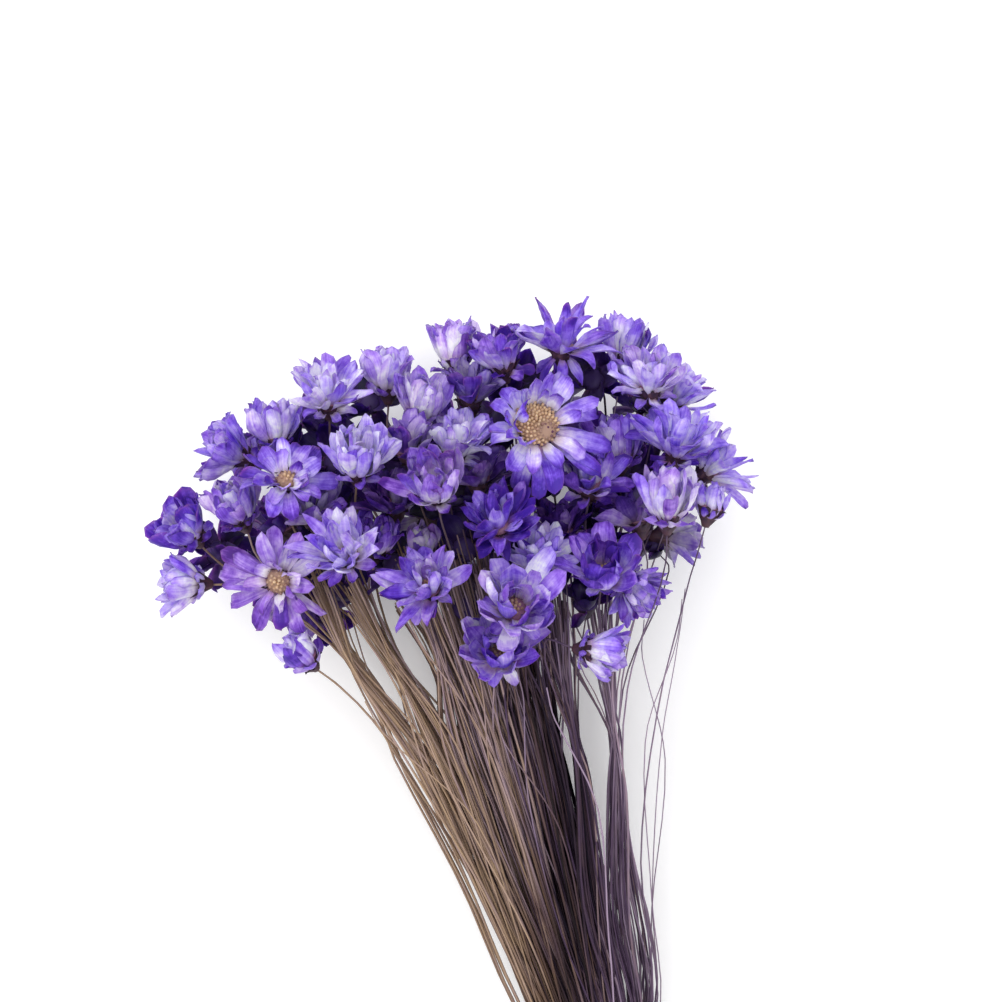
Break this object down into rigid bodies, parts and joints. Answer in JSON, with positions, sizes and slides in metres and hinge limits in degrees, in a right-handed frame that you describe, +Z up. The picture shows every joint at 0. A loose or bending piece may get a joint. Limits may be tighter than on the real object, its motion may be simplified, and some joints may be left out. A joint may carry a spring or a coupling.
{
  "type": "dried daisy bunch",
  "caption": "Bunch of small dyed dried daisies with layered papery petals on thin wiry stems, tied with twine and lying down.",
  "frame": {"origin": "below the middle of the bounding box, on the surface that the bunch lies on", "axes": "+Z up off the surface; +Y from the cut ends towards the flower heads, up in the picture; +X to the right of the picture"},
  "size_m": [0.1228, 0.2332, 0.0587],
  "materials": {
    "petal": "matte, papery, violet with near-white bases and tan discs",
    "stem": "matte, dry, tan to purple-brown",
    "tie": "matte natural twine"
  },
  "bodies": {
    "root": {"bloom_01": "petal", "bloom_02": "petal", "bloom_03": "petal", "bloom_04": "petal", "bloom_05": "petal", "bloom_06": "petal", "bloom_07": "petal", "bloom_08": "petal", "bloom_09": "petal", "bloom_10": "petal", "bloom_11": "petal", "bloom_12": "petal", "bloom_13": "petal", "bloom_14": "petal", "bloom_15": "petal", "bloom_16": "petal", "bloom_17": "petal", "bloom_18": "petal", "bloom_19": "petal", "bloom_20": "petal", "bloom_21": "petal", "bloom_22": "petal", "bloom_23": "petal", "bloom_24": "petal", "bloom_25": "petal", "bloom_26": "petal", "bloom_27": "petal", "bloom_28": "petal", "bloom_29": "petal", "bloom_30": "petal", "bloom_31": "petal", "bloom_32": "petal", "bloom_33": "petal", "bloom_34": "petal", "bloom_35": "petal", "bloom_36": "petal", "bloom_37": "petal", "bloom_38": "petal", "bloom_39": "petal", "bloom_40": "petal", "bloom_41": "petal", "bloom_42": "petal", "bloom_43": "petal", "bloom_44": "petal", "bloom_45": "petal", "bloom_46": "petal", "bloom_47": "petal", "bloom_48": "petal", "bloom_49": "petal", "bloom_50": "petal", "bloom_51": "petal", "bloom_52": "petal", "bloom_53": "petal", "bloom_54": "petal", "bloom_55": "petal", "bloom_56": "petal", "bloom_57": "petal", "bloom_58": "petal", "stems": "stem", "tie": "tie"}
  },
  "joints": []
}
